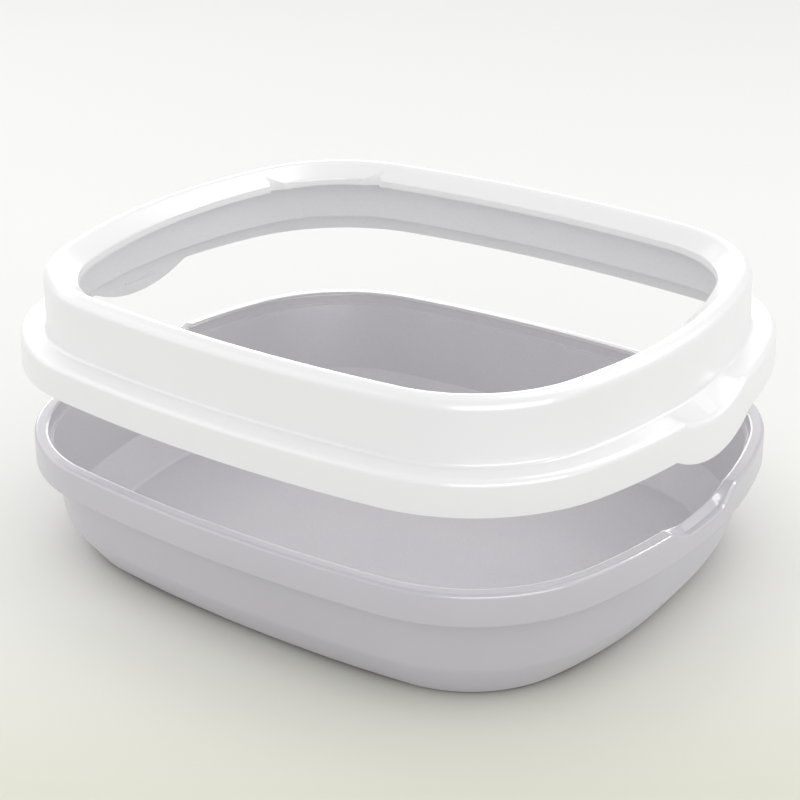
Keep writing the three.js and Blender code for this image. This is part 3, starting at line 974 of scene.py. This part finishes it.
    def build(self) -> bpy.types.Object:
        """Builds the rim's mesh.

        Returns:
            The rim as a smooth closed object.
        """
        lip = self.rolled_lip()
        plain = self.section(0.0, 0.0, 0.0, lip)
        fold_row = plain.index(self.fold_point)
        rest = ScoopRest(self, fold_row + 1)
        snap_end = self.snap_length / 2
        ends = (snap_end - self.snap_taper, snap_end, self.sag_reach)
        stations = [*map(self.outline.end_bearing_at, ends), *rest.stations()]
        mesh = self.outline.carry_round(plain, True, stations, self.column_step, self.lip_inset)
        row = mesh.verts.layers.int["row"]
        for corner in mesh.verts:
            bearing = self.outline.bearing_of(corner.co.x, corner.co.y)
            at_corner = corner.co.x < 0 < corner.co.y
            if at_corner and rest.covers(bearing, corner[row]):
                corner.co = rest.place(bearing, corner[row], corner.co)
                continue
            tab, sag = self.tab_depth(bearing), self.ledge_sag(bearing)
            cut = self.section(tab, sag, self.snap_share(bearing), lip) if tab or sag else plain
            corner.co = self.place(bearing, cut[corner[row]], corner.co)
        rest.crease(mesh)
        mark_inside(mesh, rest.crease_row)
        return finish_piece(mesh, "splash_rim_skin", self.sharp_angle)

    def dress(self, piece: bpy.types.Object) -> None:
        """Gives the rim its plastic and its place in the frame."""
        for plastic in (WHITE_GLOSS, WHITE_MATTE_WITH_PAINTED_LIGHT):
            piece.data.materials.append(plastic.material())
        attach(piece, Body.RIM.value)
        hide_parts("splash_rim")


class ScoopRest:
    """The scoop rest: a stretch of the lip at one corner, between two notches cut as flat facets.

    Each facet's upper edge is a crease that runs down over the band, from its fold to the end of the roll.
    """

    def __init__(self, rim: SplashRim, first_row: int) -> None:
        """Takes the rim and the row at which its rolled edge starts."""
        self.rim = rim
        self.first_row = first_row
        self.crease_row = first_row + rim.roll_steps
        self.lip = rim.rolled_lip()
        self.end = rim.rest_length / 2
        self.inner_end = self.end - rim.rest_facet
        self.band_run = math.dist(rim.fold_point, self.lip[0])
        self.run = self.band_run + rim.lip_round * rim.band_normal

    def stations(self) -> list[float]:
        """Returns the bearings at which the rest needs a column of points."""
        marks = (self.inner_end, self.end - self.rim.rest_end_gap, self.end)
        return [self.bearing_at(sign * mark) for mark in marks for sign in (-1, 1)]

    def bearing_at(self, from_middle: float) -> float:
        """Returns the bearing at a length along the lip from the rest's middle."""
        return self.rim.outline.bearing_at(self.rim.rest_middle + from_middle, self.rim.lip_inset)

    def from_middle(self, bearing: float) -> float:
        """Returns the length along the lip from the rest's middle to a bearing."""
        return self.rim.outline.length_to(bearing, self.rim.lip_inset) - self.rim.rest_middle

    def covers(self, bearing: float, row: int) -> bool:
        """Returns whether a point of the mesh belongs to one of the facets."""
        in_lip = self.first_row <= row < self.first_row + len(self.lip)
        outer_end = self.end - self.rim.rest_end_gap / 2
        return in_lip and self.inner_end < abs(self.from_middle(bearing)) < outer_end

    def _over_roll(self, distance: float) -> Point:
        """Returns the point of the whole lip at a distance from the fold, over the band and the roll."""
        rim = self.rim
        if distance <= self.band_run:
            return polar(rim.fold_point, distance, -rim.band_slope)
        turned = (distance - self.band_run) / rim.lip_round
        return polar(rim.lip_centre, rim.lip_round, rim.band_normal - turned)

    def _facet_edge(self, share: float) -> list[Point]:
        """Returns the points round the lower edge and up behind, at a share of the whole setback."""
        rim = self.rim
        setback = rim.rest_setback * share
        front = rim.lip_inset - setback
        lower = rim.lip_centre[1] - rim.lip_drop
        edge = rim.lower_edge(front, lower, front - rim.sheet, (front, rim.lip_centre[1]))
        inner = (front - rim.sheet, self.lip[-2][1] + setback * math.tan(rim.band_slope))
        return [*edge, inner, self.lip[-1]]

    def place(self, bearing: float, row: int, corner: Vector) -> Vector:
        """Places one point of the mesh on a facet.

        Args:
            bearing: the point's bearing.
            row: the point's row in the section.
            corner: the point's place in the plain ring.

        Returns:
            Its place on the facet: above the crease on the whole lip, and below it drawn in and set back.
        """
        rim = self.rim
        from_middle = self.from_middle(bearing)
        share = (abs(from_middle) - self.inner_end) / (self.end - self.inner_end)
        number = row - self.first_row
        if number <= rim.roll_steps:
            whole = self.band_run + (self.run - self.band_run) * number / rim.roll_steps
            return rim.place(bearing, self._over_roll(whole * (1 - share)), corner)
        drawn_in = math.copysign(rim.rest_end_wall * share, from_middle)
        point = self._facet_edge(share)[number - rim.roll_steps - 1]
        return rim.place(self.bearing_at(from_middle - drawn_in), point, corner)

    def crease(self, mesh: bmesh.types.BMesh) -> None:
        """Marks each facet's upper edge as sharp."""
        layer = mesh.verts.layers.int["row"]
        for edge in mesh.edges:
            if all(v[layer] == self.crease_row and v.co.x < 0 < v.co.y for v in edge.verts):
                middle = (edge.verts[0].co + edge.verts[1].co) / 2
                from_middle = abs(self.from_middle(self.rim.outline.bearing_of(middle.x, middle.y)))
                edge.smooth = not self.inner_end < from_middle < self.end


def heading(azimuth: float, elevation: float) -> Vector:
    """Returns the direction at an azimuth, turned from +X towards +Y, and an elevation."""
    flat = math.cos(elevation)
    return Vector((math.cos(azimuth) * flat, math.sin(azimuth) * flat, math.sin(elevation)))


@dataclass(frozen=True)
class Softbox:
    """A soft lamp that faces the object from a direction seen from it."""

    name: str
    azimuth: float
    elevation: float
    distance: float
    width: float
    height: float
    power: float
    reflection_only: bool = False
    aim_height: float = 120 * MM

    def add(self) -> None:
        """Adds the lamp to the scene."""
        data = bpy.data.lights.new(self.name, "AREA")
        data.shape = "RECTANGLE"
        data.size, data.size_y = self.width, self.height
        data.energy = self.power
        lamp = bpy.data.objects.new(self.name, data)
        back = heading(self.azimuth, self.elevation)
        lamp.location = back * self.distance + Vector((0.0, 0.0, self.aim_height))
        lamp.rotation_euler = (-back).to_track_quat("-Z", "Y").to_euler()
        lamp.visible_camera = False
        lamp.visible_diffuse = not self.reflection_only
        bpy.context.scene.collection.objects.link(lamp)


# Azimuth, elevation, distance, width and height in metres, and watts. A card shows in reflections only.
SOFTBOXES = (
    Softbox("top_lamp", 0.0, 89 * DEGREE, 2.2, 1.2, 1.2, 1.6),
    Softbox("front_lamp", -80 * DEGREE, 38 * DEGREE, 2.4, 2.0, 1.0, 2.0),
    Softbox("right_lamp", 30 * DEGREE, 30 * DEGREE, 2.4, 1.4, 0.7, 4.7),
    Softbox("back_lamp", 112 * DEGREE, 27 * DEGREE, 2.4, 1.6, 0.6, 0.6),
    Softbox("left_lamp", 170 * DEGREE, 30 * DEGREE, 2.4, 1.4, 0.7, 4.0),
    Softbox("right_card", -35 * DEGREE, 17 * DEGREE, 2.6, 3.0, 1.3, 70.0, True),
    Softbox("left_card", -143 * DEGREE, 28 * DEGREE, 2.6, 2.8, 2.0, 20.0, True),
    Softbox("band_card", 70 * DEGREE, 60 * DEGREE, 2.6, 1.4, 0.8, 40.0, True),
    Softbox("side_card", 50 * DEGREE, 35 * DEGREE, 2.6, 0.45, 0.8, 25.0, True),
    Softbox("rear_card", 130 * DEGREE, 8 * DEGREE, 2.6, 2.6, 1.2, 40.0, True),
)

# The floor's tones, as the camera and reflections show them, at distances from the pan's middle towards
# the camera, between the two ends of the ramp. The bounce is what it gives back to the object as light.
FLOOR_BOUNCE = (0.82, 0.82, 0.82)
FLOOR_ROUGHNESS = 0.9
FLOOR_FAR = -1.9
FLOOR_NEAR = 1.2
# Painted light: the stops at 0 and 0.12 are lighter, to lift the shadow that the pan casts beside itself.
FLOOR_TONES_AND_PAINTED_LIGHT = (
    (-1.75, (0.857, 0.862, 0.838)),
    (-0.7, (0.9, 0.9, 0.893)),
    (-0.3, (0.9, 0.9, 0.885)),
    (0.0, (0.915, 0.915, 0.885)),
    (0.12, (0.895, 0.895, 0.85)),
    (0.25, (0.81, 0.81, 0.73)),
    (0.32, (0.76, 0.765, 0.655)),
    (1.0, (0.88, 0.88, 0.87)),
)

# A painted shadow on the floor, dark where the pan meets it: the foot's half length and half width as one
# rounded oblong, with its exponent, and how fast the painted shadow fades outwards, how strong it is and its
# tone.
FOOT_HALF = (204 * MM, 168 * MM)
FOOT_POWER = 3.5
PAINTED_SHADOW_FADE = 12 * MM
PAINTED_SHADOW_STRENGTH = 0.7
PAINTED_SHADOW_TONE = (0.1, 0.1, 0.08)


@dataclass
class Studio:
    """The pale floor, the soft lamps, the surrounding light and the camera.

    The camera's azimuth is turned from -Y towards +X, and its aim is measured in its own picture plane.
    """

    focal_pixels: float = 1813.2
    frame_pixels: float = 800.0
    sensor: float = 36.0
    distance: float = 1272.5 * MM
    azimuth: float = 36.06 * DEGREE
    elevation: float = 24.71 * DEGREE
    roll: float = -0.5 * DEGREE
    aim_across: float = 1.3 * MM
    aim_up: float = -37.66 * MM
    aim_height: float = 146.1 * MM
    clip_start: float = 0.05
    clip_end: float = 100.0
    floor_size: float = 14.0
    floor_cells: int = 8
    world_level: float = 0.93

    def add_camera(self) -> None:
        """Sets the camera that was fitted to the photograph."""
        back = heading(self.azimuth - QUARTER_TURN, self.elevation)
        level = heading(self.azimuth, 0.0)
        upright = back.cross(level)
        right = level * math.cos(self.roll) + upright * math.sin(self.roll)
        up = upright * math.cos(self.roll) - level * math.sin(self.roll)
        aim = Vector((0.0, 0.0, self.aim_height)) + level * self.aim_across + upright * self.aim_up
        spot = aim + back * self.distance
        data = bpy.data.cameras.new("camera")
        data.sensor_width = self.sensor
        data.lens = self.focal_pixels / self.frame_pixels * self.sensor
        data.clip_start, data.clip_end = self.clip_start, self.clip_end
        camera = bpy.data.objects.new("camera", data)
        turn = Matrix((right, up, back)).transposed().to_4x4()
        camera.matrix_world = Matrix.Translation(spot) @ turn
        bpy.context.scene.collection.objects.link(camera)
        bpy.context.scene.camera = camera

    def add_floor(self) -> None:
        """Adds the floor as a part of the stage."""
        mesh = bmesh.new()
        cells = self.floor_cells
        bmesh.ops.create_grid(mesh, x_segments=cells, y_segments=cells, size=self.floor_size / 2)
        data = bpy.data.meshes.new("floor")
        mesh.to_mesh(data)
        mesh.free()
        floor = bpy.data.objects.new("floor", data)
        bpy.context.scene.collection.objects.link(floor)
        floor.data.materials.append(self.floor_material())

    def floor_material(self) -> bpy.types.Material:
        """Builds the floor's material.

        Returns:
            A material a little darker and greener towards the camera and lighter beside the pan, painted
            light that lifts the pan's own shadow there, with a painted shadow round the pan's foot that only
            the camera sees, and one even tone for the light that it gives back.
        """
        bench = Bench("pale_floor")
        across = bench.node("ShaderNodeSeparateXYZ", {}, {"Vector": bench.object_place()}, "X")
        along = across.sibling("Y")
        towards = across * math.sin(self.azimuth) - along * math.cos(self.azimuth)
        depth = FLOOR_NEAR - FLOOR_FAR
        stops = [((reach - FLOOR_FAR) / depth, colour) for reach, colour in FLOOR_TONES_AND_PAINTED_LIGHT]
        # The floor's tones with the painted light beside the pan, as the camera and reflections show them.
        lit = bench.node("ShaderNodeValToRGB", {"stops": stops}, {"Fac": (towards - FLOOR_FAR) / depth})
        camera_ray = bench.node("ShaderNodeLightPath", {}, {}, "Is Camera Ray")
        shown = camera_ray + camera_ray.sibling("Is Glossy Ray") + camera_ray.sibling("Is Transmission Ray")
        # Painted shadow: darkens the floor's colour round the pan's foot, for camera rays only.
        shade = self.from_foot(across, along).faded(PAINTED_SHADOW_FADE) * PAINTED_SHADOW_STRENGTH * camera_ray
        colour = bench.mix(shown, FLOOR_BOUNCE, bench.mix(shade, lit, PAINTED_SHADOW_TONE))
        inputs = {"Base Color": colour, "Roughness": FLOOR_ROUGHNESS, "Specular IOR Level": 0.0}
        return bench.surface(bench.node("ShaderNodeBsdfPrincipled", {}, inputs))

    @staticmethod
    def from_foot(across: Signal, along: Signal) -> Signal:
        """Returns the distance outside the pan's foot, taken as one rounded oblong, and 0 under the pan."""
        half_length, half_width = FOOT_HALF
        long_way = (across / half_length).magnitude().power(FOOT_POWER)
        wide_way = (along / half_width).magnitude().power(FOOT_POWER)
        reach = (long_way + wide_way).power(1 / FOOT_POWER)
        from_middle = (across * across + along * along).power(0.5)
        return (from_middle - from_middle / reach).held()

    def add_world(self) -> None:
        """Sets a plain even surrounding light."""
        world = bpy.data.worlds.new("surroundings")
        world.use_nodes = True
        background = world.node_tree.nodes["Background"]
        background.inputs["Color"].default_value = (1.0, 1.0, 1.0, 1.0)
        background.inputs["Strength"].default_value = self.world_level
        bpy.context.scene.world = world

    def build(self) -> None:
        """Builds the whole studio."""
        self.add_camera()
        self.add_floor()
        self.add_world()
        for softbox in SOFTBOXES:
            softbox.add()


def main() -> None:
    """Builds the studio and both pieces, and logs each piece's name."""
    logging.basicConfig(level=logging.INFO, format="%(name)s: %(message)s")
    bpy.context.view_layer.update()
    view = bpy.context.scene.view_settings
    view.view_transform = "Standard"
    Studio().build()
    outline = Outline()
    for part in (LitterPan(outline), SplashRim(outline)):
        piece = part.build()
        part.dress(piece)
        LOG.info("%s stands", piece.name)


if __name__ == "__main__":
    main()
